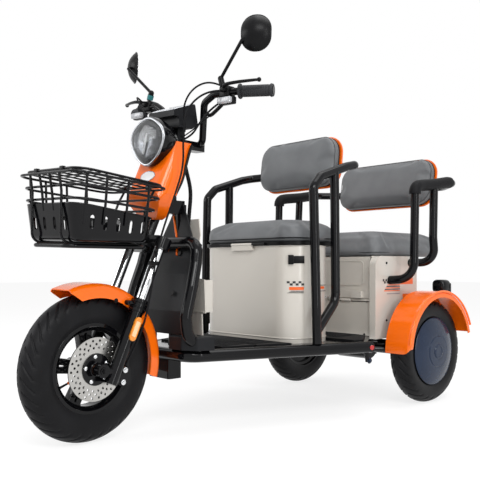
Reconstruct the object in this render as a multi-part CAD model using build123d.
"""Electric tricycle with a driver's seat, a rear bench and a front wire basket.

Millimetres.  +X points forward, +Y to the left, +Z up, and the ground is z = 0.
Everything is modelled from the middle of the rear axle and moved to the middle of the
bounding box at the end.  The steered pieces are modelled straight ahead and then turned
to their rest angle about the raked steering axis.
"""
import os
from math import atan2, cos, degrees, radians, sin, sqrt, tan

from build123d import *

# ---------------------------------------------------------------- driving dimensions
wheelbase = 1220.0
nose_shift = wheelbase - 1220.0   # the nose's places below are given for 1220
running_gap = 0.3            # between pieces that touch in use but stay separate solids
seat_gap = 0.3               # under and behind soft pieces

# front wheel
front_tyre_radius = 209.0
front_tyre_width = 78.0
front_bead_radius = 128.0
front_rim_width = 58.0
front_rim_depth = 12.0
front_well_half = 14.0
front_spoke_count = 5
front_hub_radius = 30.0
front_hub_length = 88.0
axle_radius = 6.0
disc_radius = 89.0
disc_thickness = 4.0
disc_flange_radius = 44.0
disc_hole_count = 22
flange_cover = 1.7
disc_offset = 40.0           # inner face of the brake disc, left of the wheel's middle

# tyre sections
tread_edge_share = 0.43      # lateral place of the tread's edge over the tyre's width
tread_drop_share = 0.22      # drop from the crown to the tread's edge over the tyre's height

# rear wheels
rear_tyre_radius = 186.5
rear_tyre_width = 76.0
rear_bead_radius = 118.0
rear_rim_width = 60.0
hub_cap_radius = 121.0
hub_cap_rise = 19.0
rear_axle_radius = 16.0
axle_tube_radius = 27.0
motor_radius = 56.0

# steering
rake = 23.9                  # degrees from upright
steer_at_rest = 5.0          # degrees, turned to the left
fork_lead = 48.0             # how far the wheel's middle is ahead of the fork legs
fork_half_width = 70.0
fork_leg_radius = 19.0
stanchion_radius = 15.0
dust_cap_radius = 23.0
yoke_thickness = 34.0
steerer_radius = 14.0
head_tube_radius = 24.0
head_tube_low = 655.0

# lamp, instruments and handlebar
lamp_back_x = 947.0
lamp_front_x = 1019.0
lamp_half_width = 78.0
lamp_height = 148.0
lamp_middle_z = 865.0
head_panel_half_width = 78.0
panel_wall = 3.0
mirror_radius = 51.0
mirror_width = 86.0
mirror_turn = 30.0           # degrees, outward
bar_radius = 11.0
grip_radius = 17.0

# frame
floor_tube_z = 229.0
floor_tube_radius = 18.5
floor_front_x = wheelbase - 242.0
rail_front_y = 132.0
guard_y = 150.0
guard_top_x = 922.0
guard_top_z = 564.0
rail_rear_x = 372.0
rail_rear_y = 341.0
floor_sheet = 3.0
sheet_edge = 6.0             # how far the sheet's edge lies inside the rail's middle
sheet_rear_x = 226.0
sheet_rear_y = 232.0
floor_z = 245.0              # top of the floor sheet
mat_thickness = 6.0
front_mat_x = 848.0
panel_half_width = 104.0
pocket_half_width = 99.0
guard_tube_radius = 18.0
cross_tube_radius = 11.0
spine_radius = 14.0
spine_front_y = 62.0
spine_rear_y = 110.0
rear_frame_z = 230.0
rear_cross_half = 215.0
post_x = -66.0               # uprights behind the cabinet
arm_y = 150.0                # trailing arms of the rear axle
arm_pivot_x = 150.0
arm_pivot_z = 204.0
arm_eye_half = 14.0
shock_y = 178.0
shock_top_z = 400.0
armrest_tube_radius = 15.0
rear_post_y = 335.0
grip_thickness = 6.0

# seats and boxes
wall = 3.0
front_box_front = 615.0
front_box_rear = 410.0
front_box_half_width = 230.0
front_box_corner = 80.0
front_box_top = 560.0
cabinet_front = 200.0
cabinet_rear = -42.0
cabinet_half_width = 250.0
wheel_inset = 64.0           # from the cabinet's side to the rear wheel's middle
cheek_thickness = 26.0
door_bottom = 372.0
lid_front = 620.0
lid_length = 250.0
lid_half_width = 231.0
lid_hinge_x = 625.0
lid_hinge_z = 566.0
lid_knuckle_radius = 4.5
door_hinge_x = 203.5
door_hinge_z = 370.0
door_pin_radius = 2.2
battery_height = 112.0
tail_x = -153.0              # front face of the tail lamp housings
tail_depth = 59.0
tail_inner_y = 240.0
tail_outer_y = 297.0
tail_top = 442.0
cabinet_top = 530.0
cabinet_bottom = 236.0
front_cushion_height = 66.0
rear_cushion_height = 85.0
lid_base_thickness = 12.0
backrest_thickness = 50.0
backrest_sheet = 14.0
front_back = (385.0, 776.0, 6.0)     # face, bottom edge and lean in degrees
front_back_half_width = 184.0
front_back_height = 180.0
rear_back = (-142.0, 742.0, 9.0)
rear_back_half_width = 228.0
rear_back_height = 190.0
backrest_corner = 62.0

# rear fenders
rear_fender_radius = 207.0
rear_fender_rise = 10.0      # of the mudguard's middle over the wheel's middle
fender_inset = 36.0          # from the cabinet's side to the mudguard
fender_width = 99.0
fender_corner = 30.0         # rounding of the mudguard's front lower corner
fender_sheet = 3.0

# basket
wire_radius = 3.5
eye_gap = 0.8                # around the lid's wire in its hinge eyes
basket_lid_x = 1058.0        # hinge line of the wire lid
basket_lid_z = 722.0
basket_floor_z = 560.0
basket_pan_x = 1220.0        # middle of the pan
basket_pan_length = 264.0
basket_pan_width = 274.0
pan_sheet = 2.0

# front fender
front_fender_clearance = 23.0
front_fender_half_width = 55.0
front_fender_skirt = 40.0
fender_bolt = (392.0, 38.0)  # height, and how far ahead of the steering axis


# ---------------------------------------------------------------- derived places
front_wheel_middle = Vector(wheelbase, 0, front_tyre_radius)
rear_wheel_y = cabinet_half_width + wheel_inset
up_axis = Vector(-sin(radians(rake)), 0, cos(radians(rake)))
fork_root = Vector(wheelbase - fork_lead, 0, front_tyre_radius)
steering_axis = Axis(fork_root, up_axis)


def on_axis(height):
    """Point of the steering axis at one height above the ground."""
    rise = height - fork_root.Z
    return Vector(fork_root.X - rise * tan(radians(rake)), 0, height)


def ahead(height, forward, side=0.0):
    """Point at one height, a distance ahead of the steering axis and to one side."""
    base = on_axis(height)
    return Vector(base.X + forward, side, height)


# ---------------------------------------------------------------- shared shapes
def at_nose(shape):
    """Move a shape that is laid out for the nominal wheelbase."""
    return Pos(nose_shift, 0, 0) * shape


def rod(start, end, radius):
    """Round bar between two points."""
    start = Vector(start)
    end = Vector(end)
    length = (end - start).length
    bar = Cylinder(radius, length, align=(Align.CENTER, Align.CENTER, Align.MIN))
    return Plane(origin=start, z_dir=end - start) * bar


def rounded_path(points, bends):
    """Straight runs joined by arcs, with one bend radius for each corner."""
    points = [Vector(p) for p in points]
    edges = []
    start = points[0]
    for before, corner, after, bend in zip(points, points[1:], points[2:], bends):
        into = (corner - before).normalized()
        out = (after - corner).normalized()
        turn = radians(into.get_angle(out))
        reach = bend * tan(turn / 2)
        depth = bend * (1 / cos(turn / 2) - 1)
        first = corner - into * reach
        last = corner + out * reach
        middle = corner + (out - into).normalized() * depth
        edges.append(Line(start, first))
        edges.append(ThreePointArc(first, middle, last))
        start = last
    edges.append(Line(start, points[-1]))
    return Wire(edges)


def bent_tube(points, radius, bend):
    """Round bar along straight runs joined by arcs, one bend radius or one per corner."""
    bends = bend if isinstance(bend, list) else [bend] * (len(points) - 2)
    path = rounded_path(points, bends)
    section = Plane(origin=path @ 0, z_dir=path % 0) * Circle(radius)
    return sweep(section, path=path)


def across(points):
    """A run of points on the left followed by its mirror image, back to the right."""
    return points + [(x, -y, z) for x, y, z in reversed(points)]


def across_bends(bends):
    """Bend radii of a run and of its mirror image."""
    return bends + bends[::-1]


def block(x0, x1, y0, y1, z0, z1):
    """Box from its six faces."""
    solid = Box(abs(x1 - x0), abs(y1 - y0), abs(z1 - z0))
    return Pos((x0 + x1) / 2, (y0 + y1) / 2, (z0 + z1) / 2) * solid


def plane_sheet(profile, thickness, half_width):
    """Sheet that follows an (x, z) profile across the vehicle, its front face on it."""
    back = [(x - thickness, z) for x, z in reversed(profile)]
    return extrude(Plane.XZ * make_face(Polyline(*profile, *back, close=True)), half_width,
                   both=True)


def mirror_y(shape):
    """The same shape on the other side of the vehicle."""
    return mirror(shape, about=Plane.XZ)


def both_sides(shape):
    """A left piece and its mirror image."""
    return [shape, mirror_y(shape)]


def fuse(pieces):
    """One shape from a list of pieces."""
    result = pieces[0]
    for piece in pieces[1:]:
        result = result + piece
    return result


def fillet_upright(shape, radius):
    """Round the upright edges."""
    return fillet(shape.edges().filter_by(Axis.Z), radius)


def wheel_sink():
    """How far the front tyre dips below the ground once it is turned about the raked axis."""
    turn = Axis(Vector(0, 0, 0), up_axis)
    hub = (front_wheel_middle - fork_root).rotate(turn, steer_at_rest)
    spin = Vector(0, 1, 0).rotate(turn, steer_at_rest)
    half = front_tyre_width * tread_edge_share
    drop = (front_tyre_radius - front_bead_radius) * tread_drop_share
    crown = (half ** 2 + drop ** 2) / (2 * drop)
    upright = sqrt(1 - spin.Z ** 2)
    return -(fork_root.Z + hub.Z - (front_tyre_radius - crown) * upright - crown)


def steered(shape):
    """Turn a straight-ahead steering piece to its rest angle, front tyre on the ground."""
    lift = up_axis * (wheel_sink() / cos(radians(rake)))
    return shape.rotate(steering_axis, steer_at_rest).moved(Location(lift))


def ring_y(outer, inner, y0, y1):
    """Ring about the Y axis between two lateral places."""
    ring = Cylinder(outer, abs(y1 - y0)) - Cylinder(inner, abs(y1 - y0) + 2)
    return Pos(0, (y0 + y1) / 2, 0) * Rot(90, 0, 0) * ring


def disc_y(radius, y0, y1):
    """Disc about the Y axis between two lateral places."""
    return Pos(0, (y0 + y1) / 2, 0) * Rot(90, 0, 0) * Cylinder(radius, abs(y1 - y0))


def revolved_y(outline):
    """Revolve an outline of (lateral, radius) points about the Y axis."""
    face = Plane.YZ * make_face(Polyline(*outline, close=True))
    return revolve(face, axis=Axis.Y)


# ---------------------------------------------------------------- wheels
def tyre(radius, width, bead):
    """Tyre ring about the Y axis, solid to the bead, with a round crown."""
    height = radius - bead
    bead_y = width * 0.37
    edge_y = width * tread_edge_share
    edge_r = radius - height * tread_drop_share
    face = make_face([
        ThreePointArc((bead_y, bead), (width / 2, bead + height * 0.42), (edge_y, edge_r)),
        ThreePointArc((edge_y, edge_r), (0, radius), (-edge_y, edge_r)),
        ThreePointArc((-edge_y, edge_r), (-width / 2, bead + height * 0.42), (-bead_y, bead)),
        Line((-bead_y, bead), (bead_y, bead))])
    return revolve(Plane.YZ * face, axis=Axis.Y)


def rim_ring(bead, width, depth, well_half):
    """Drop-centre channel that carries the tyre's beads."""
    half = width / 2
    lip = 6.0
    ledge = bead - 2
    well = bead - depth
    skin = 3.5
    outline = [(-half, ledge - skin), (-well_half - 5, ledge - skin), (-well_half, well - skin),
               (well_half, well - skin), (well_half + 5, ledge - skin), (half, ledge - skin),
               (half, bead + lip), (half - 4, bead + lip), (half - 4, ledge),
               (well_half + 8, ledge), (well_half + 3, well), (-well_half - 3, well),
               (-well_half - 8, ledge), (4 - half, ledge), (4 - half, bead + lip),
               (-half, bead + lip)]
    return revolved_y(outline)


def front_rim():
    """Cast wheel with slotted spokes, its hub and the flange that carries the disc."""
    seat = front_bead_radius - 6.5
    ring = rim_ring(seat, front_rim_width, front_rim_depth, front_well_half)
    hub = disc_y(front_hub_radius, -front_hub_length / 2, disc_offset)
    flange = disc_y(disc_flange_radius, disc_offset - 7, disc_offset)
    outer = disc_y(disc_flange_radius, disc_offset + disc_thickness + running_gap,
                   disc_offset + disc_thickness + running_gap + flange_cover)
    neck = disc_y(front_hub_radius - 1, disc_offset - 1, disc_offset + disc_thickness + 1)
    inner = seat - front_rim_depth
    spokes = []
    for number in range(front_spoke_count):
        turn = 360.0 * number / front_spoke_count
        for side in (-1, 1):
            bar = block(front_hub_radius - 8, inner, -9, 9, side * 13 - 6, side * 13 + 6)
            spokes.append(bar.rotate(Axis.Y, turn))
    wheel = fuse([ring, hub, flange, outer, neck] + spokes)
    return wheel - disc_y(axle_radius + running_gap, -80, 80)


def brake_disc():
    """Perforated disc with an open middle, on the left of the front hub."""
    disc = ring_y(disc_radius, front_hub_radius - 1 + running_gap, disc_offset + running_gap,
                  disc_offset + disc_thickness)
    hole = disc_y(3.6, disc_offset - 2, disc_offset + disc_thickness + 2)
    holes = []
    for number in range(disc_hole_count):
        angle = radians(360.0 / disc_hole_count * number)
        for row, inset in enumerate((9, 19, 29)):
            turn = angle + radians(180.0 / disc_hole_count * row)
            reach = disc_radius - inset
            holes.append(Pos(reach * cos(turn), 0, reach * sin(turn)) * hole)
    return disc - holes


def rear_hub(side):
    """Rim, wheel disc and domed hub cap of one rear wheel, outer side at +Y or -Y."""
    ring = rim_ring(rear_bead_radius - 6.5, rear_rim_width, 14.0, 14.0)
    web = disc_y(rear_bead_radius - 21, -4, 4)
    seat = rear_rim_width / 2 + 3.5
    edge = seat - 8
    boss = disc_y(40, -26, seat)
    dome = make_face([
        Line((edge, 0), (edge, hub_cap_radius - 10)),
        Line((edge, hub_cap_radius - 10), (seat, hub_cap_radius)),
        Line((seat, hub_cap_radius), (seat + 2.5, hub_cap_radius)),
        ThreePointArc((seat + 2.5, hub_cap_radius), (seat + 15, 88), (seat + hub_cap_rise, 56)),
        Line((seat + hub_cap_rise, 56), (seat + hub_cap_rise + 3, 53)),
        Line((seat + hub_cap_rise + 3, 53), (seat + hub_cap_rise + 4, 28)),
        Line((seat + hub_cap_rise + 4, 28), (seat + hub_cap_rise + 7, 24)),
        Line((seat + hub_cap_rise + 7, 24), (seat + hub_cap_rise + 8, 0)),
        Line((seat + hub_cap_rise + 8, 0), (edge, 0))])
    cap = revolve(Plane.YZ * dome, axis=Axis.Y)
    wheel = fuse([ring, web, boss, cap])
    wheel = wheel - disc_y(rear_axle_radius + running_gap, -60, 24)
    return wheel if side > 0 else mirror_y(wheel)


# ---------------------------------------------------------------- frame
def rail_y(x):
    """Lateral place of the splayed floor rail."""
    share = (floor_front_x - x) / (floor_front_x - rail_rear_x)
    return rail_front_y + share * (rail_rear_y - rail_front_y)


def floor_frame():
    """Perimeter rail, floor sheet, spine tubes and the frame that carries the rear seat."""
    front_x = floor_front_x - floor_tube_radius
    points = [(rail_rear_x, rail_rear_y, floor_tube_z), (front_x, rail_y(front_x), floor_tube_z),
              (front_x, -rail_y(front_x), floor_tube_z), (rail_rear_x, -rail_rear_y, floor_tube_z)]
    rail = bent_tube(points, floor_tube_radius, 45)
    sheet_under = floor_z - floor_sheet
    cross = []
    for x in (rail_rear_x + 12, 560.0, 780.0):
        height = sheet_under - cross_tube_radius + 0.5
        half = rail_y(x)
        cross.append(rod((x, -half, height), (x, half, height), cross_tube_radius))
    sheet = Pos(0, 0, sheet_under) * extrude(make_face(Polyline(
        (sheet_rear_x, sheet_rear_y), (rail_rear_x, rail_rear_y - sheet_edge),
        (front_x, rail_y(front_x) - sheet_edge), (front_x, sheet_edge - rail_y(front_x)),
        (rail_rear_x, sheet_edge - rail_rear_y), (sheet_rear_x, -sheet_rear_y),
        close=True)), floor_sheet)
    pieces = [rail, sheet] + cross
    height = sheet_under - spine_radius + 0.5
    for side in (-1, 1):
        pieces.append(bent_tube([(front_x, side * spine_front_y, height),
                                 (rail_rear_x + 40, side * spine_front_y, height),
                                 (170, side * spine_rear_y, rear_frame_z),
                                 (post_x - 60, side * spine_rear_y, rear_frame_z)],
                                spine_radius, 60))
        pieces.append(rod((post_x, side * spine_rear_y, rear_frame_z),
                          (post_x, side * spine_rear_y, cabinet_top - 1), cross_tube_radius))
        lug_y = side * arm_y
        for shift in (-arm_eye_half - 5.3, arm_eye_half + 0.3):
            pieces.append(block(arm_pivot_x - 14, arm_pivot_x + 14, lug_y + shift,
                                lug_y + shift + 5, arm_pivot_z - 14, rear_frame_z))
    for x, half in ((arm_pivot_x, rear_cross_half), (post_x, spine_rear_y + 20)):
        pieces.append(rod((x, -half, rear_frame_z), (x, half, rear_frame_z), cross_tube_radius))
    pieces.append(rod((post_x, -shock_y - 12, shock_top_z), (post_x, shock_y + 12, shock_top_z),
                      cross_tube_radius))
    return fuse(pieces)


def leg_guard(grow=0.0):
    """Bent tube in front of the rider's legs, narrower towards its top."""
    foot_z = floor_tube_z + floor_tube_radius + running_gap
    side = [(930, guard_y, foot_z + guard_tube_radius * 0.3), (976, guard_y, 292),
            (983, guard_y, 344), (957, guard_y - 4, 430), (935, guard_y - 13, 500),
            (guard_top_x, guard_y - 22, guard_top_z)]
    bends = [40, 40, 40, 40, 42]
    return at_nose(bent_tube(across(side), guard_tube_radius + grow, across_bends(bends)))


def down_tube(grow=0.0):
    """Tube from the head tube's gusset down to the floor."""
    foot = Vector(915, 0, floor_z + 2.2)
    run = [(882.6, 0, 684 + grow), (882.6, 0, 560), (893.3, 0, 466), tuple(foot)]
    return at_nose(bent_tube(run, 16 + grow, 60))


def gusset(grow=0.0):
    """Plate between the down tube and the head tube."""
    back = 880 + nose_shift
    return block(back, on_axis(676).X - 8, -14 - grow, 14 + grow, 654 - grow, 696 + grow)


def head_tube():
    """Head tube, gusset and down tube to the floor."""
    bore = rod(on_axis(600), on_axis(820), steerer_radius + 1.0)
    tube = rod(on_axis(head_tube_low), on_axis(800), head_tube_radius)
    return fuse([tube - bore, gusset() - bore, down_tube()])


def shell_back_x(face_x, base_z, lean, height):
    """Where a backrest's moulded back stands at one height."""
    depth = backrest_thickness + seat_gap + backrest_sheet
    tilt = radians(lean)
    return face_x - (height - base_z) * tan(tilt) - depth / cos(tilt)


def front_seat_frame():
    """Armrest tubes of the driver's seat, joined behind the backrest."""
    foot_z = floor_tube_z + floor_tube_radius + running_gap
    cross_x = shell_back_x(*front_back, 842) - armrest_tube_radius - running_gap
    side = [(557, rail_y(557), foot_z), (557, 262, 745), (520, 260, 782), (386, 258, 826),
            (340, 256, 836), (cross_x, 205, 842)]
    main = bent_tube(across(side), armrest_tube_radius, across_bends([26, 26, 40, 26, 26]))
    rear_posts = []
    for end in (-1, 1):
        rear_posts.append(bent_tube([(450, end * 259, 806), (450, end * 264, 380),
                                     (557, end * 274, 285)], armrest_tube_radius, 60))
    return fuse([main] + rear_posts)


def rear_arm_run():
    """Middle line of the left rear armrest, from above the front post to behind the seat."""
    cross_x = shell_back_x(*rear_back, 808) - armrest_tube_radius - running_gap
    out = rear_post_y
    return [(98, out, 775), (58, out - 2, 783), (-27, out - 2, 793), (-116, out - 2, 808),
            (-159, out - 7, 809), (cross_x, 248, 808)]


rear_arm_bends = [24, 60, 60, 60, 30, 30]


def rear_seat_frame():
    """Armrest tubes of the rear bench, carried by the cabinet's sides."""
    seat_y = cabinet_half_width + running_gap
    root_y = cabinet_half_width - 10
    side = [(132, root_y, 443), (106, rear_post_y, 450)] + rear_arm_run()
    shapes = [bent_tube(across(side), armrest_tube_radius, across_bends([60] + rear_arm_bends))]
    for end in (-1, 1):
        post = [(6, end * root_y, 506), (-30, end * rear_post_y, 508),
                (-18, end * rear_post_y, 600), (-27, end * (rear_post_y - 2), 793)]
        shapes.append(bent_tube(post, armrest_tube_radius, [50, 60]))
    cabinet_space = block(cabinet_rear - 40, cabinet_front + 40, -seat_y, seat_y,
                          cabinet_bottom, cabinet_top)
    return fuse(shapes) - cabinet_space


def armrest_grips():
    """Rubber sleeves over the rear armrests, open below where the rear posts come up."""
    run = rear_arm_run()[:4]
    front = (98.6, rear_post_y, 750)
    back = (-132, rear_post_y - 3.6, 808.4)
    sleeve = bent_tube([front] + run + [back], armrest_tube_radius + grip_thickness,
                       rear_arm_bends[:4])
    core = bent_tube([(105, rear_post_y, 500)] + rear_arm_run(), armrest_tube_radius
                     + running_gap, rear_arm_bends[:5])
    post = rod((-18, rear_post_y, 600), (-27, rear_post_y - 2, 793), armrest_tube_radius + 1)
    return both_sides(sleeve - core - post)


def under_floor_box():
    """Black box under the front of the floor, with the strut that steadies it."""
    top = floor_tube_z - floor_tube_radius - running_gap
    box = fillet_upright(block(915, 965, -60, 45, 152, top), 8)
    strut = rod((920, -20, 160), (857.4, -20, 237.8), 6)
    return at_nose(fuse([box, strut]))


def corner_caps():
    """Moulded covers on the front corners of the floor."""
    caps = []
    guard = leg_guard(1.0)
    base = floor_tube_z + floor_tube_radius + running_gap
    for side in (-1, 1):
        outline = [(4, side * 62), (4, side * 128), (-20, side * 172), (-70, side * 190),
                   (-74, side * 100), (-30, side * 62)]
        cap = extrude(make_face(Polyline(*outline, close=True)), 40)
        upright = cap.edges().filter_by(Axis.Z).sort_by(Axis.X)[-3:]
        cap = fillet(upright, 9)
        cap = fillet(cap.edges().group_by(Axis.Z)[-1], 5)
        caps.append(Pos(floor_front_x, 0, base) * cap - guard)
    return caps


def floor_mat():
    """Ribbed rubber mats: driver's feet, under the front box, and passenger's feet."""
    mats = []
    runs = [[(sheet_rear_x + 14, sheet_rear_y - 10), (rail_rear_x, rail_rear_y - 24),
             (408, rail_y(408) - 24)],
            [(624, rail_y(624) - 24), (738, rail_y(738) - 24)],
            [(744, rail_y(744) - 24), (front_mat_x, rail_y(front_mat_x) - 24)]]
    for run in runs:
        outline = Polyline(*run, *[(x, -y) for x, y in reversed(run)], close=True)
        mats.append(Pos(0, 0, floor_z + running_gap) * extrude(make_face(outline),
                                                               mat_thickness))
    return mats


def leg_shield():
    """Dark plate between the guard tubes with a hollow for the front wheel."""
    profile = [(968, 290), (972, 360), (943, 470), (903.3, 566), (893, 640), (889, 698)]
    plate = plane_sheet(profile, 4, 150)
    view = [(-142, 280), (142, 280), (142, 480), (128, 556), (76, 582), (46, 635), (12, 694)]
    face = make_face(Polyline(*view, *[(-y, z) for y, z in reversed(view[2:])], close=True))
    plate = plate & (Plane.YZ * extrude(face, 1200))
    return at_nose(plate) - leg_guard(running_gap) - down_tube(running_gap) - gusset(running_gap)


def inner_panel():
    """Light panel that faces the rider, with a pocket box on it."""
    profile = [(867, floor_z + 8), (876.8, 466), (866, 560), (852, 640)]
    panel = plane_sheet(profile, 4, panel_half_width)
    view = [(86, 240), (86, 346), (105, 350), (105, 452), (66, 457), (66, 590), (44, 650)]
    face = make_face(Polyline(*view, *[(-y, z) for y, z in reversed(view)], close=True))
    panel = panel & (Plane.YZ * extrude(face, 1200))
    outer = block(829, 870, -pocket_half_width, pocket_half_width, 352, 450)
    outer = fillet(outer.edges().filter_by(Axis.Z).sort_by(Axis.X)[:2], 12)
    inner = block(829 + wall, 880, wall - pocket_half_width, pocket_half_width - wall,
                  352 + wall, 460)
    inner = fillet(inner.edges().filter_by(Axis.Z).sort_by(Axis.X)[:2], 9)
    pocket = (outer - inner) + block(862, 874.5, -pocket_half_width + 1, pocket_half_width - 1,
                                     352, 352 + wall)
    return at_nose(panel + pocket)


def front_seat_box():
    """Hollow box under the driver's seat, open at the top, with the lid's middle knuckle."""
    base = floor_z + running_gap
    height = front_box_top - base
    length = front_box_front - front_box_rear
    middle = (front_box_front + front_box_rear) / 2
    outer = Pos(middle, 0, base) * extrude(
        RectangleRounded(length, 2 * front_box_half_width, front_box_corner), height)
    inner = Pos(middle, 0, base + wall) * extrude(
        RectangleRounded(length - 2 * wall, 2 * (front_box_half_width - wall),
                         front_box_corner - wall), height)
    knuckle = Pos(lid_hinge_x, 0, lid_hinge_z) * disc_y(lid_knuckle_radius, -50, 50)
    leaf = block(lid_hinge_x - 4, lid_hinge_x + 2, -50, 50, front_box_top - 14, lid_hinge_z)
    foot = block(front_box_front - 1, lid_hinge_x + 2, -50, 50, front_box_top - 14,
                 front_box_top - 6)
    return fuse([outer - inner, knuckle, leaf, foot])


def front_lid_base():
    """Black rim under the driver's cushion, with its two hinge knuckles."""
    z0 = front_box_top + running_gap
    rim = Pos(lid_front - lid_length / 2, 0, z0) * extrude(
        RectangleRounded(lid_length, 2 * lid_half_width, 70), lid_base_thickness)
    knuckles = []
    for side in (-1, 1):
        barrel = disc_y(lid_knuckle_radius, side * 51, side * 110)
        knuckles.append(Pos(lid_hinge_x, 0, lid_hinge_z) * barrel)
        knuckles.append(block(lid_front - 2, lid_hinge_x, side * 51, side * 110,
                              lid_hinge_z - 2, lid_hinge_z + 2))
    return fuse([rim] + knuckles)


def seat_cushion(x0, x1, half_width, z0, corner, height):
    """Plain padded seat."""
    pad = Pos((x0 + x1) / 2, 0, z0) * extrude(
        RectangleRounded(x1 - x0, 2 * half_width, corner), height)
    top = pad.edges().group_by(Axis.Z)[-1]
    return fillet(top, 18)


def rear_cabinet():
    """Hollow cabinet under the rear bench, with proud side cheeks and an open front."""
    inner_y = cabinet_half_width - cheek_thickness
    floor = rear_frame_z + spine_radius + running_gap
    shell = block(cabinet_rear, cabinet_front, -inner_y, inner_y, floor, cabinet_top)
    hollow = block(cabinet_rear + wall, cabinet_front + 10, wall - inner_y, inner_y - wall,
                   floor + wall, cabinet_top + 5)
    sill = block(cabinet_front - wall, cabinet_front, -inner_y, inner_y, floor, door_bottom - 6)
    pin = Pos(door_hinge_x, 0, door_hinge_z) * disc_y(door_pin_radius, -inner_y - 1, inner_y + 1)
    cheeks = [pin]
    for side in (-1, 1):
        cheek = block(cabinet_rear, cabinet_front + 15, side * inner_y,
                      side * cabinet_half_width, cabinet_bottom, cabinet_top)
        edges = cheek.edges().filter_by(Axis.Y).sort_by(Axis.X)[-2:].sort_by(Axis.Z)
        cheeks.append(fillet(edges[-1], 34))
    return fuse([shell - hollow, sill] + cheeks)


def cabinet_door():
    """Upper front panel of the cabinet that folds down."""
    half = cabinet_half_width - cheek_thickness - wall - 5.5
    door = block(cabinet_front - wall, cabinet_front, -half, half, door_bottom, cabinet_top - 2)
    band = block(cabinet_front, cabinet_front + 4, -half, half, door_bottom + 8, door_bottom + 32)
    pull = block(cabinet_front + 4, cabinet_front + 14, 140, 184, door_bottom + 8, door_bottom + 32)
    pieces = [door, band, pull]
    for y in (-150, 0, 110):
        pieces.append(Pos(door_hinge_x, 0, door_hinge_z) * ring_y(
            door_pin_radius + 2.6, door_pin_radius + running_gap, y - 20, y + 20))
    return fuse(pieces)


def backrest_pad(half_width, height, face_x, base_z, lean):
    """Plain padded backrest, leaned back about its bottom edge."""
    pad = extrude(RectangleRounded(2 * half_width, height, backrest_corner), backrest_thickness)
    front = pad.faces().sort_by(Axis.Z)[0].edges()
    pad = fillet(front, 14)
    place = Pos(face_x, 0, base_z) * Rot(0, -lean, 0) * Pos(0, 0, height / 2)
    return place * Rot(0, -90, 0) * Rot(0, 0, 90) * pad


def backrest_shell(half_width, height, face_x, base_z, lean):
    """Moulded back of a backrest."""
    sheet = extrude(RectangleRounded(2 * half_width + 4, height + 4, backrest_corner),
                    backrest_sheet)
    rear = sheet.faces().sort_by(Axis.Z)[-1].edges()
    sheet = fillet(rear, 10)
    place = Pos(face_x, 0, base_z) * Rot(0, -lean, 0) * Pos(0, 0, height / 2)
    return place * Rot(0, -90, 0) * Rot(0, 0, 90) * Pos(0, 0, backrest_thickness + seat_gap) * sheet


def rear_fender(side):
    """Curved mudguard over one rear wheel with a bracket to the cabinet."""
    middle_z = rear_tyre_radius + rear_fender_rise
    radius = rear_fender_radius
    inner_y = cabinet_half_width + fender_inset
    outer_y = inner_y + fender_width
    drop = fender_sheet + 9
    section = make_face([
        Line((inner_y, radius), (outer_y - 12, radius)),
        ThreePointArc((outer_y - 12, radius), (outer_y - 3.5, radius - 3.5),
                      (outer_y, radius - 12)),
        Line((outer_y, radius - 12), (outer_y, radius - 22)),
        Line((outer_y, radius - 22), (outer_y - fender_sheet, radius - 22)),
        Line((outer_y - fender_sheet, radius - 22), (outer_y - fender_sheet, radius - 12)),
        ThreePointArc((outer_y - fender_sheet, radius - 12), (outer_y - 5.6, radius - 5.6),
                      (outer_y - 12, radius - fender_sheet)),
        Line((outer_y - 12, radius - fender_sheet), (inner_y + fender_sheet,
                                                     radius - fender_sheet)),
        Line((inner_y + fender_sheet, radius - fender_sheet), (inner_y + fender_sheet,
                                                               radius - drop)),
        Line((inner_y + fender_sheet, radius - drop), (inner_y, radius - drop)),
        Line((inner_y, radius - drop), (inner_y, radius))])
    guard = revolve(Plane.YZ * section, axis=Axis.Y)
    keep = extrude(Plane.XZ * make_face(Polyline((0, 0), (260, -6), (260, 260), (-260, 260),
                                                 (-260, 66), close=True)), -500)
    guard = Pos(0, 0, middle_z) * (guard & keep)
    round_y = outer_y - fender_corner
    round_z = middle_z - 5 + fender_corner
    corner = block(100, 260, round_y, outer_y + 1, round_z - fender_corner - 5, round_z)
    guard = guard - (corner - rod((90, round_y, round_z), (270, round_y, round_z), fender_corner))
    top = middle_z + radius
    bracket = block(cabinet_rear + 4, 50, cabinet_half_width + running_gap, inner_y + 2,
                    top - 26, top - 11)
    guard = guard + bracket
    return guard if side > 0 else mirror_y(guard)


def tail_lights():
    """Lamp housings that stand on the rear fenders."""
    housing = block(tail_x - tail_depth, tail_x, tail_inner_y, tail_outer_y, 300, tail_top)
    edges = housing.edges().filter_by(Axis.Y).group_by(Axis.Z)[-1]
    housing = fillet(edges, 20)
    fender = disc_y(rear_fender_radius + running_gap, tail_inner_y - 20, tail_outer_y + 40)
    return both_sides(housing - Pos(0, 0, rear_tyre_radius + rear_fender_rise) * fender)


def red_lenses():
    """Tail lamp lenses and the red caps on the ends of the floor rails."""
    rear = tail_x - tail_depth - running_gap
    lens = block(rear - 6, rear, tail_inner_y + 6, tail_outer_y - 6, 330, tail_top - 16)
    along = Vector(rail_rear_x, rail_rear_y, 0) - Vector(rail_rear_x + 100, rail_y(rail_rear_x + 100), 0)
    along = along.normalized()
    start = Vector(rail_rear_x, rail_rear_y, floor_tube_z) + along * running_gap
    sheet_room = block(rail_rear_x - 40, rail_rear_x + 20, rail_rear_y - 30,
                       rail_rear_y - sheet_edge + running_gap,
                       floor_z - floor_sheet - running_gap, floor_z + 10)
    cap = rod(start, start + along * 10, floor_tube_radius) - sheet_room
    return both_sides(lens) + both_sides(cap)


def battery():
    """Battery pack behind the lower front panel of the cabinet."""
    floor = rear_frame_z + spine_radius + 2 * running_gap + wall
    return block(cabinet_rear + 40, cabinet_front - 22, -180, 180, floor, floor + battery_height)


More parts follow.
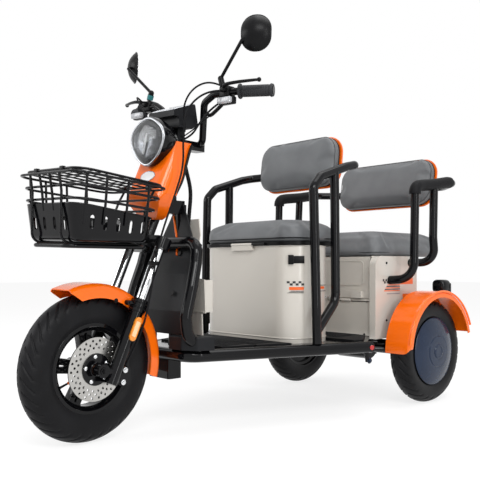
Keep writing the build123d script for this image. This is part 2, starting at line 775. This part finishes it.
def rear_axle():
    """Axle tube with the drive motor, wheel shafts, trailing arms and shock brackets."""
    tube = disc_y(axle_tube_radius, -rear_wheel_y + 60, rear_wheel_y - 60)
    motor = disc_y(motor_radius, -75, 62)
    shaft = disc_y(rear_axle_radius, -rear_wheel_y - 22, rear_wheel_y + 22)
    gear = block(-50, 50, 10, 60, -40, 40)
    axle = Pos(0, 0, rear_tyre_radius) * fuse([tube, motor, shaft, gear])
    pieces = [axle]
    for side in (-1, 1):
        eye = Pos(arm_pivot_x, 0, arm_pivot_z) * disc_y(13, side * arm_y - arm_eye_half,
                                                        side * arm_y + arm_eye_half)
        pieces.append(rod((arm_pivot_x, side * arm_y, arm_pivot_z),
                          (0, side * arm_y, rear_tyre_radius), 11))
        pieces.append(eye)
        pieces.append(block(post_x - 14, -8, side * shock_y - 16, side * shock_y + 16,
                            rear_tyre_radius, rear_tyre_radius + axle_tube_radius + 5.7))
    return fuse(pieces)


def rear_shocks():
    """Sprung legs between the rear axle and the seat frame."""
    legs = []
    top = shock_top_z - cross_tube_radius - running_gap
    for side in (-1, 1):
        low = Vector(post_x, side * shock_y, rear_tyre_radius + axle_tube_radius + 6)
        high = Vector(post_x, side * shock_y, top)
        leg = rod(low, high, 8) + rod(low + (high - low) * 0.12, low + (high - low) * 0.85, 22)
        legs.append(leg)
    return legs


# ---------------------------------------------------------------- steering pieces
def fork_leg_point(height, side):
    """Point of a fork leg's middle line."""
    return ahead(height, 0, side * fork_half_width)


def fork():
    """Lower legs, yoke, steerer and axle."""
    pieces = []
    for side in (-1, 1):
        pieces.append(rod(fork_leg_point(168, side), fork_leg_point(372, side), fork_leg_radius))
        pieces.append(rod(fork_leg_point(364, side), fork_leg_point(398, side), dust_cap_radius))
        lug = rod((wheelbase, side * (fork_half_width - 12), front_tyre_radius),
                  (wheelbase, side * (fork_half_width + 12), front_tyre_radius), 19)
        arm = rod((wheelbase, side * fork_half_width, front_tyre_radius),
                  fork_leg_point(front_tyre_radius - 8, side), 12)
        pieces.append(lug)
        pieces.append(arm)
        boss_y = side * (front_fender_half_width + running_gap)
        boss = rod(ahead(*fender_bolt, boss_y), ahead(*fender_bolt, side * fork_half_width), 7)
        web = rod(fork_leg_point(385, side), ahead(*fender_bolt, side * (fork_half_width - 4)), 6)
        pieces.append(boss)
        pieces.append(web)
    axle = disc_y(axle_radius, -92, 92).moved(Location(front_wheel_middle))
    return fuse(pieces + [axle])


def yoke_plate(grow):
    """Clamp plate of the fork, square to the steering axis."""
    plane = Plane(origin=on_axis(560), x_dir=(0, 1, 0), z_dir=up_axis)
    outline = RectangleRounded(2 * fork_half_width + 52 + 2 * grow, 52 + 2 * grow, 25)
    half = yoke_thickness / 2 + grow
    return plane * extrude(outline, half, both=True)


def yoke():
    """Lower yoke with the steering stem on it."""
    holes = []
    for side in (-1, 1):
        holes.append(rod(fork_leg_point(480, side), fork_leg_point(640, side),
                         stanchion_radius + running_gap))
    return yoke_plate(0) - holes + rod(on_axis(560), on_axis(868), steerer_radius)


def stanchions():
    """Bright fork tubes."""
    return [rod(fork_leg_point(398 + running_gap, side), fork_leg_point(578, side),
                stanchion_radius) for side in (-1, 1)]


def fender_keep():
    """Side view of the part of the ring that the front mudguard keeps."""
    return [(8, 20), (45, 181), (84, 206), (100, 300), (-330, 300), (-330, -30), (-216, -51),
            (-170, -34), (-120, -10)]


def front_fender():
    """Mudguard over the front wheel, with a rounded section and deep sides."""
    half = front_fender_half_width
    radius = front_tyre_radius + front_fender_clearance
    skirt = radius - front_fender_skirt
    arc_mid = (half - 4.5, radius - 7)
    inner_mid = (half - 6.8, radius - 9.2)
    outer = [Line((-half + 16, radius), (half - 16, radius)),
             ThreePointArc((half - 16, radius), arc_mid, (half, radius - 20)),
             Line((half, radius - 20), (half, skirt)),
             Line((half, skirt), (half - fender_sheet, skirt)),
             Line((half - fender_sheet, skirt), (half - fender_sheet, radius - 20)),
             ThreePointArc((half - fender_sheet, radius - 20), inner_mid,
                           (half - 16, radius - fender_sheet)),
             Line((half - 16, radius - fender_sheet), (-half + 16, radius - fender_sheet)),
             ThreePointArc((-half + 16, radius - fender_sheet), (-inner_mid[0], inner_mid[1]),
                           (-half + fender_sheet, radius - 20)),
             Line((-half + fender_sheet, radius - 20), (-half + fender_sheet, skirt)),
             Line((-half + fender_sheet, skirt), (-half, skirt)),
             Line((-half, skirt), (-half, radius - 20)),
             ThreePointArc((-half, radius - 20), (-arc_mid[0], arc_mid[1]),
                           (-half + 16, radius))]
    ring = revolve(Plane.YZ * make_face(outer), axis=Axis.Y)
    keep = extrude(Plane.XZ * make_face(Polyline(*fender_keep(), close=True)), 200, both=True)
    guard = (ring & keep).moved(Location(front_wheel_middle + Vector(4, 0, 6)))
    slots = [rod(fork_leg_point(250, side), fork_leg_point(470, side), dust_cap_radius + 3)
             for side in (-1, 1)]
    return guard - slots


def amber_reflectors():
    """Long reflectors on the outer sides of the fork legs."""
    shapes = []
    for side in (-1, 1):
        y = side * (fork_half_width + fork_leg_radius + running_gap)
        lens = Plane(origin=ahead(319, 0, y), x_dir=up_axis, z_dir=(0, side, 0)) * extrude(
            SlotOverall(70, 23), 5)
        shapes.append(lens)
    return shapes


def brake_caliper():
    """Caliper behind the left fork leg, over the disc, on its bracket."""
    middle = front_wheel_middle + Vector(-92, 0, -28)
    disc_y_middle = disc_offset + disc_thickness / 2
    body = Pos(middle.X, disc_y_middle + 3, middle.Z) * Box(38, 22, 50)
    slot = Pos(middle.X + 12, disc_y_middle, middle.Z) * Box(52, disc_thickness + 3, 70)
    body = fillet(body.edges().filter_by(Axis.Y), 3) - slot
    leg = fork_leg_point(middle.Z, 1)
    plate = block(middle.X - 10, leg.X, fork_half_width - 16, fork_half_width - 9,
                  middle.Z - 16, middle.Z + 12)
    plate = plate - rod(fork_leg_point(120, 1), fork_leg_point(260, 1),
                        fork_leg_radius + running_gap)
    return body + plate


def pan_body(inset):
    """Tapered tray body with a rounded bottom, its foot at z = 0."""
    body = extrude(RectangleRounded(basket_pan_length - 24 - 2 * inset,
                                    basket_pan_width - 24 - 2 * inset, 36 - inset), 110,
                   taper=-8)
    return fillet(body.edges().group_by(Axis.Z)[0], 16 - inset)


def basket_pan():
    """Sheet tray with a rounded bottom, slots around its sides and a rim that rises."""
    pan = pan_body(0) - Pos(0, 0, pan_sheet) * pan_body(pan_sheet)
    half = basket_pan_length / 2
    cut = extrude(Plane.XZ * make_face(Polyline((-half - 40, 64), (half + 40, 103),
                                                (half + 40, 200), (-half - 40, 200),
                                                close=True)), 200, both=True)
    slot = Rot(90, 0, 0) * extrude(Rot(0, 0, 90) * SlotOverall(36, 13), 200, both=True)
    cuts = [cut]
    for place in (-84, -42, 0, 42, 84):
        cuts.append(Pos(place, 0, 46 + 0.06 * place) * slot)
    for place in (-72, -24, 24, 72):
        cuts.append(Pos(0, place, 46) * Rot(0, 0, 90) * slot)
    return Pos(basket_pan_x, 0, basket_floor_z) * (pan - cuts)


def basket_hoop(x_rear, x_front, half_width, z_rear, z_front):
    """Closed wire hoop that rises towards the front."""
    length = x_front - x_rear
    path = RectangleRounded(length, 2 * half_width, 45).wire()
    path = path.moved(Location((length / 2, 0, 0)))
    section = Plane(origin=path @ 0, z_dir=path % 0) * Circle(wire_radius)
    hoop = sweep(section, path=path)
    slope = degrees(atan2(z_front - z_rear, length))
    return Pos(x_rear, 0, z_rear) * Rot(0, -slope, 0) * hoop


def basket():
    """Front basket: slotted pan, wire hoops, uprights and a carrier loop."""
    pieces = [basket_pan()]
    pieces.append(basket_hoop(1085, 1350, 143, 652, 671))
    pieces.append(basket_hoop(1070, 1352, 145, 685, 705))
    pieces.append(basket_hoop(1052, 1366, 148, 714, 738))
    under = basket_floor_z - wire_radius + 0.5
    for side in (-1, 1):
        y = side * 70
        pieces.append(bent_tube([(1365, y, 738), (1357, y, 690), (1357, y, under), (1300, y, under)],
                                wire_radius, [30, 25]))
        pieces.append(rod((1302, y, under), (1120, y, under), wire_radius))
        pieces.append(bent_tube([(1122, y, under), (1090, y, under), (1081, y, 652),
                                 (1066, y, 685), (1048, y, 714)], wire_radius, [20, 30, 30]))
        for x in (1130, 1200, 1270, 1325):
            out = 138 - (10 if x > 1300 else 0)
            rise = 0.075 * (x - 1052)
            pieces.append(bent_tube([(x, side * (out - 4), 605), (x, side * (out + 4), 652 + rise),
                                     (x, side * (out + 6.5), 685 + rise),
                                     (x, side * (out + 9), 714 + rise)], wire_radius, 60))
        pieces.append(Pos(basket_lid_x, 0, basket_lid_z) * ring_y(
            8, wire_radius + eye_gap, side * 50, side * 62))
    for y in (-24, 24):
        pieces.append(bent_tube([(1365, y, 738), (1356, y, 690), (1350, y, 640)],
                                wire_radius, 60))
    loop = across([(1050, 44, 552), (1100, 90, 549), (1345, 90, 548.5)])
    pieces.append(bent_tube(loop, 6, 30))
    pieces.append(block(1040, 1130, -60, 60, 552, basket_floor_z + 1))
    return at_nose(fuse(pieces)) - yoke_plate(running_gap)


def basket_lid():
    """Wire lid, hinged at the rear of the basket."""
    front_z = basket_lid_z + 26
    reach = 1350 - basket_lid_x
    bars = [basket_hoop(basket_lid_x, 1350, 138, basket_lid_z, front_z)]
    for y in (-92, -46, 0, 46, 92):
        bars.append(rod((basket_lid_x, y, basket_lid_z), (1350, y, front_z), 2.2))
    for share in (0.25, 0.5, 0.75):
        x = basket_lid_x + reach * share
        z = basket_lid_z + 26 * share
        bars.append(rod((x, -138, z), (x, 138, z), 2.2))
    return at_nose(fuse(bars))


def panel_body(inset):
    """Shield-shaped body in front of the head tube, its walls moved inward by an inset."""
    top = 868 + inset * 8
    front = 80.5 - inset
    half = head_panel_half_width - inset
    corner = 25 - inset
    section = make_face([
        Line((-60, half), (front - corner, half)),
        ThreePointArc((front - corner, half), (front - corner * 0.293, half - corner * 0.293),
                      (front, half - corner)),
        Line((front, half - corner), (front, corner - half)),
        ThreePointArc((front, corner - half), (front - corner * 0.293, corner * 0.293 - half),
                      (front - corner, -half)),
        Line((front - corner, -half), (-60, -half)),
        Line((-60, -half), (-60, half))])
    low = on_axis(600)
    forward = Vector(cos(radians(rake)), 0, sin(radians(rake)))
    plane = Plane(origin=low, x_dir=forward, z_dir=up_axis)
    body = plane * extrude(section, (top - 600) / cos(radians(rake)) + 60)
    chin = Spline((1036 - inset, 716), (1031.5 - inset, 688 + inset * 0.5),
                  (1020 - inset * 0.6, 658 + inset * 0.9), (1004, 632 + inset * 1.1))
    side = make_face([
        Line((1000, top), (1068 - inset, 716)), Line((1068 - inset, 716), (1036 - inset, 716)),
        chin, Line((1004, 632 + inset * 1.1), (880, 600)), Line((880, 600), (800, top)),
        Line((800, top), (1000, top))])
    body = body & at_nose(Plane.XZ * extrude(side, 120, both=True))
    edge = Spline((72 - inset, 900), (79 - inset, 760), (70 - inset, 682), (45 - inset * 0.8, 647),
                  (20 - inset * 0.4, 633 + inset * 1.1))
    mirrored = Spline((-72 + inset, 900), (-79 + inset, 760), (-70 + inset, 682),
                      (-45 + inset * 0.8, 647), (-20 + inset * 0.4, 633 + inset * 1.1))
    base = 633 + inset * 1.1
    view = make_face([edge, Line((20 - inset * 0.4, base), (-20 + inset * 0.4, base)), mirrored,
                      Line((-72 + inset, 900), (72 - inset, 900))])
    return body & (Plane.YZ * extrude(view, 1400 + nose_shift))


def head_panel():
    """Painted shell in front of the head tube, open to the rear."""
    rear = [(800, 880), (904, 880), (904, 868), (915, 843), (943, 755), (975, 692), (978, 673),
            (972, 640), (976, 600), (800, 600)]
    back_cut = extrude(Plane.XZ * make_face(Polyline(*rear, close=True)), 200, both=True)
    shell = panel_body(0) - panel_body(panel_wall) - at_nose(back_cut)
    turning_room = rod(on_axis(head_tube_low - 7), on_axis(850), head_tube_radius + 5)
    stem = rod(on_axis(560), on_axis(head_tube_low), steerer_radius + running_gap)
    return shell - lamp_body(running_gap) - turning_room - stem


def lamp_outline(share, grow):
    """Egg-shaped outline of the lamp, seen from the front, scaled and grown outward."""
    half = lamp_half_width * share + grow
    high = lamp_height / 2 * share + grow
    curve = Spline((0, high), (half * 0.78, high * 0.62), (half, high * 0.05),
                   (half * 0.62, -high * 0.66), (0, -high), (-half * 0.62, -high * 0.66),
                   (-half, high * 0.05), (-half * 0.78, high * 0.62), periodic=True)
    return make_face(curve)


def lamp_section(x, share, grow):
    """Lamp outline set across the vehicle at one place."""
    return Pos(x, 0, lamp_middle_z) * (Plane.YZ * lamp_outline(share, grow))


def lamp_body(grow):
    """Lamp housing as a solid that widens towards its bezel."""
    back = lamp_back_x - grow
    rim = lamp_front_x - 14
    cone = loft([lamp_section(back, 0.72, grow), lamp_section(lamp_back_x + 34, 0.93, grow),
                 lamp_section(rim, 1.0, grow)])
    bezel = extrude(lamp_section(rim, 1.0, grow), 14, dir=(1, 0, 0))
    return at_nose(cone + bezel)


def headlight():
    """Lamp housing with its bezel and a sunk mouth."""
    mouth = extrude(lamp_section(lamp_front_x - 14, 1.0, -7), 20, dir=(1, 0, 0))
    return lamp_body(0) - at_nose(mouth)


def headlight_lens():
    """Clear domed cover of the lamp."""
    back = lamp_front_x - 14 + running_gap
    grow = -7 - running_gap
    base = extrude(lamp_section(back, 1.0, grow), 15, dir=(1, 0, 0))
    dome = loft([lamp_section(back + 15, 1.0, grow), lamp_section(back + 23, 0.86, grow),
                 lamp_section(back + 27, 0.5, grow)])
    return at_nose(base + dome)


def dash_housing():
    """Instrument pod and the bracket that carries it and the lamp."""
    face_x = lamp_back_x - running_gap
    top = 944
    outline = [(face_x, 915), (face_x, top), (968, top + 2), (968, 963), (882, 994), (868, 930),
               (893, 915)]
    pod = extrude(Plane.XZ * make_face(Polyline(*outline, close=True)), 58, both=True)
    sides = pod.edges().filter_by(Axis.X, reverse=True).filter_by(Axis.Y).sort_by(Axis.Z)[-2:]
    pod = fillet(sides, 6)
    neck = block(896 + running_gap, 926, -30, 30, 872, 926)
    arm = block(903, face_x, -12, 12, 886, 926)
    return at_nose(fuse([pod, neck, arm])) - lamp_body(running_gap)


bar_side = [Vector(814, 0, 874), Vector(836, 46, 886), Vector(880, 96, 992),
            Vector(877, 134, 1013), Vector(862, 208, 1015), Vector(814.5, 316.3, 1013.1)]


def handlebar():
    """Bent handlebar with its clamp on the stem."""
    right = [Vector(p.X, -p.Y, p.Z) for p in reversed(bar_side[1:])]
    bar = bent_tube(right + bar_side, bar_radius, 29)
    clamp = fillet_upright(block(798, 896, -22, 22, 858, 886), 8)
    bore = rod(on_axis(820), on_axis(869), steerer_radius + running_gap)
    return at_nose(bar + clamp) - bore


def along_bar(first, second, share):
    """Point between two corners of the left half of the handlebar."""
    return bar_side[first] + (bar_side[second] - bar_side[first]) * share


def grips():
    """Rubber grips."""
    bore = rod(along_bar(4, 5, -0.5), along_bar(4, 5, 1.5), bar_radius + running_gap)
    grip = rod(along_bar(4, 5, 0.105), along_bar(4, 5, 0.98), grip_radius) - bore
    return both_sides(at_nose(grip))


def hand_controls():
    """Switch housings and brake levers."""
    bore = rod(along_bar(3, 4, -0.5), along_bar(3, 4, 1.5), bar_radius + running_gap)
    body = block(846, 888, 160, 200, 996, 1034) - bore
    lever = bent_tube([(884, 184, 1024), (900, 206, 1030), (866, 300, 1036)], 5, 12)
    return both_sides(at_nose(body + lever))


def indicators():
    """Front turn signals on short arms below the bar ends."""
    shapes = []
    for side in (-1, 1):
        lamp = block(878, 908, side * 172, side * 230, 972, 995)
        arm = rod((886, side * 176, 976), (884, side * 130, 950), 5)
        stalk = rod((884, side * 130, 950), (871, side * 96, 962), 5)
        shapes.append(at_nose(fuse([lamp, arm, stalk])))
    return shapes


def mirror_shell():
    """Domed shell of a mirror with straighter sides, its flat side to the rear."""
    half = make_face([ThreePointArc((21, 0), (12.5, 32), (-4, mirror_radius)),
                      Line((-4, mirror_radius), (-8, mirror_radius)),
                      Line((-8, mirror_radius), (-8, 0)), Line((-8, 0), (21, 0))])
    sides = RectangleRounded(mirror_width, 2 * mirror_radius, mirror_width / 2 - 3)
    outline = Plane.YZ * extrude(sides, 40, both=True)
    return revolve(half, axis=Axis.X) & outline


def mirrors():
    """Rear-view mirrors on straight stems."""
    shapes = []
    for side, middle in ((1, (870, 290, 1170)), (-1, (848, -290, 1166))):
        foot = Vector(876, side * 168, 1034 + running_gap)
        knee = Vector(876, side * 160, 1057)
        head = Vector(895, side * 260, 1148)
        base = rod(foot + (foot - knee) * 0.3, knee, 9) + Pos(tuple(knee)) * Sphere(9)
        base = base - block(850, 900, side * 140, side * 200, 1000, foot.Z)
        stem = rod(knee, head, 5)
        inside = Vector(*middle) + Vector(8, 0, 0)
        arm = rod(head, inside, 5) + Pos(tuple(head)) * Sphere(5)
        turned = Pos(*middle) * Rot(0, 0, side * mirror_turn) * mirror_shell()
        shapes.append(at_nose(fuse([base, stem, arm, turned])))
    return shapes


def brake_hose():
    """Hose from the left lever down to the caliper."""
    run = [(890.2, 178, 1016), (932, 160, 1012), (975, 120, 960), (972, 104, 880),
           (960, 98, 790), (1000, 100, 690), (1042, 104, 600), (1062, 100, 520),
           (1086, 106, 400), (1104, 94, 300), (1127, 52, 209.5)]
    return at_nose(bent_tube(run, 3.0, 30))


# ---------------------------------------------------------------- assembly
def build():
    """Every node of the vehicle, by name."""
    nodes = {}
    nodes["floor_frame"] = floor_frame()
    nodes["leg_guard"] = leg_guard()
    nodes["head_tube"] = head_tube()
    nodes["front_seat_frame"] = front_seat_frame()
    nodes["rear_seat_frame"] = rear_seat_frame()
    nodes["armrest_grips"] = armrest_grips()
    nodes["under_floor_box"] = under_floor_box()
    nodes["corner_caps"] = corner_caps()
    nodes["floor_mat"] = floor_mat()
    nodes["leg_shield"] = leg_shield()
    nodes["inner_panel"] = inner_panel()
    nodes["front_seat_box"] = front_seat_box()
    nodes["front_seat_lid"] = front_lid_base()
    nodes["front_seat_cushion"] = seat_cushion(
        372, 620, 228, front_box_top + 2 * running_gap + lid_base_thickness, 70,
        front_cushion_height)
    nodes["rear_cabinet"] = rear_cabinet()
    nodes["cabinet_door"] = cabinet_door()
    nodes["rear_seat_cushion"] = seat_cushion(
        -235, 205, cabinet_half_width - 4, cabinet_top + running_gap, 60, rear_cushion_height)
    front_size = (front_back_half_width, front_back_height)
    rear_size = (rear_back_half_width, rear_back_height)
    nodes["front_backrest_pad"] = backrest_pad(*front_size, *front_back)
    nodes["rear_backrest_pad"] = backrest_pad(*rear_size, *rear_back)
    nodes["backrest_shells"] = [backrest_shell(*front_size, *front_back),
                                backrest_shell(*rear_size, *rear_back)]
    nodes["rear_fenders"] = [rear_fender(1), rear_fender(-1)]
    nodes["tail_lights"] = tail_lights()
    nodes["red_lenses"] = red_lenses()
    nodes["battery"] = battery()
    nodes["rear_axle"] = rear_axle()
    nodes["rear_shocks"] = rear_shocks()

    nodes["fork"] = steered(fork())
    nodes["fork_yoke"] = steered(yoke())
    nodes["fork_stanchions"] = [steered(s) for s in stanchions()]
    nodes["front_fender"] = steered(front_fender())
    nodes["amber_reflectors"] = [steered(s) for s in amber_reflectors()]
    nodes["brake_caliper"] = steered(brake_caliper())
    nodes["basket"] = steered(basket())
    nodes["basket_lid"] = steered(basket_lid())
    nodes["head_panel"] = steered(head_panel())
    nodes["headlight"] = steered(headlight())
    nodes["headlight_lens"] = steered(headlight_lens())
    nodes["dash_housing"] = steered(dash_housing())
    nodes["handlebar"] = steered(handlebar())
    nodes["grips"] = [steered(s) for s in grips()]
    nodes["hand_controls"] = [steered(s) for s in hand_controls()]
    nodes["indicators"] = [steered(s) for s in indicators()]
    nodes["mirrors"] = [steered(s) for s in mirrors()]
    nodes["brake_hose"] = steered(brake_hose())

    place = Location(front_wheel_middle)
    nodes["front_tyre"] = steered(tyre(front_tyre_radius, front_tyre_width,
                                       front_bead_radius).moved(place))
    nodes["front_rim"] = steered(front_rim().moved(place))
    nodes["front_brake_disc"] = steered(brake_disc().moved(place))
    for name, side in (("left", 1), ("right", -1)):
        place = Location((0, side * rear_wheel_y, rear_tyre_radius))
        nodes["rear_tyre_" + name] = tyre(rear_tyre_radius, rear_tyre_width,
                                          rear_bead_radius).moved(place)
        nodes["rear_hub_" + name] = rear_hub(side).moved(place)
    return nodes


def solids_of(shape):
    """Solids of a shape or of a list of shapes."""
    pieces = shape if isinstance(shape, (list, ShapeList)) else [shape]
    return [solid for piece in pieces for solid in piece.solids()]


def main():
    """Write one file per node, with the origin under the middle of the bounding box."""
    nodes = {name: solids_of(shape) for name, shape in build().items()}
    boxes = [solid.bounding_box() for solids in nodes.values() for solid in solids]
    shift = -(min(box.min.X for box in boxes) + max(box.max.X for box in boxes)) / 2
    os.makedirs("parts", exist_ok=True)
    for name, solids in nodes.items():
        placed = [solid.moved(Location((shift, 0, 0))) for solid in solids]
        whole = placed[0] if len(placed) == 1 else Compound(children=placed)
        export_step(whole, "parts/" + name + ".step")
    print("origin shift", round(shift, 3))
    print("width", min(box.min.Y for box in boxes), max(box.max.Y for box in boxes))
    print("height", min(box.min.Z for box in boxes), max(box.max.Z for box in boxes))


main()
